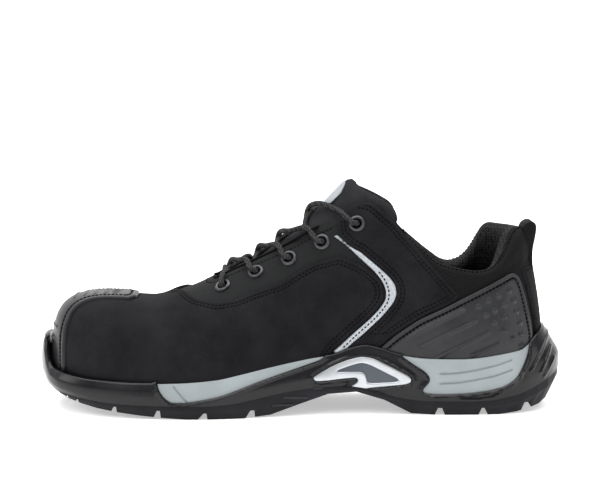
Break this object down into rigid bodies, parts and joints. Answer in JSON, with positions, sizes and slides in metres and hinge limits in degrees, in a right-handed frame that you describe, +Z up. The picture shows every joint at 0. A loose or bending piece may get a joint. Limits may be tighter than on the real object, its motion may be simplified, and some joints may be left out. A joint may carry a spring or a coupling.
{
  "type": "safety sneaker",
  "caption": "Low-cut laced safety sneaker for the left foot, with a toe guard, a moulded heel counter, a framed midsole and a lugged outsole.",
  "frame": {"origin": "on the floor, under the middle of the shoe's box", "axes": "+X from the toe to the heel, +Y to the wearer's inner side, +Z up"},
  "size_m": [0.2992, 0.1049, 0.1296],
  "materials": {
    "outsole_rubber": "matt black moulded rubber",
    "midsole_grey": "pale grey-green foam, smooth skin",
    "sole_black": "semi-gloss black moulding",
    "silver_trim": "satin silver",
    "panel_grey": "grey-blue, satin",
    "insole_foam": "black cloth-covered foam",
    "textile": "black ripstop cloth",
    "lining": "black padded mesh",
    "nubuck": "black nubuck with a short nap",
    "moulded_rubber": "satin black moulding",
    "reflective": "light grey reflective trim",
    "gunmetal": "dark metal, satin",
    "lace_black": "black round braid"
  },
  "bodies": {
    "root": {"outsole": "outsole_rubber", "midsole": "midsole_grey", "sole_frame": "sole_black", "insole": "insole_foam", "upper": "textile", "collar": "lining", "tongue": "textile", "toe_guard": "moulded_rubber", "vamp_panel": "nubuck", "quarter_strip_outer": "nubuck", "quarter_strip_inner": "nubuck", "crescent_outer": "reflective", "crescent_inner": "reflective", "counter_outer": "moulded_rubber", "counter_inner": "moulded_rubber", "back_strip": "nubuck", "pull_tab": "textile", "arch_insert_outer": "silver_trim", "arch_insert_inner": "silver_trim", "arch_panel_outer": "panel_grey", "arch_panel_inner": "panel_grey", "lace_bar": "lace_black", "lace_cross_1": "lace_black", "lace_cross_2": "lace_black", "lace_cross_3": "lace_black", "lace_cross_4": "lace_black", "eyelet_outer_1": "gunmetal", "eyelet_outer_2": "gunmetal", "eyelet_outer_3": "gunmetal", "eyelet_outer_4": "gunmetal", "eyelet_outer_5": "gunmetal", "eyelet_inner_1": "gunmetal", "eyelet_inner_2": "gunmetal", "eyelet_inner_3": "gunmetal", "eyelet_inner_4": "gunmetal", "eyelet_inner_5": "gunmetal"}
  },
  "joints": []
}
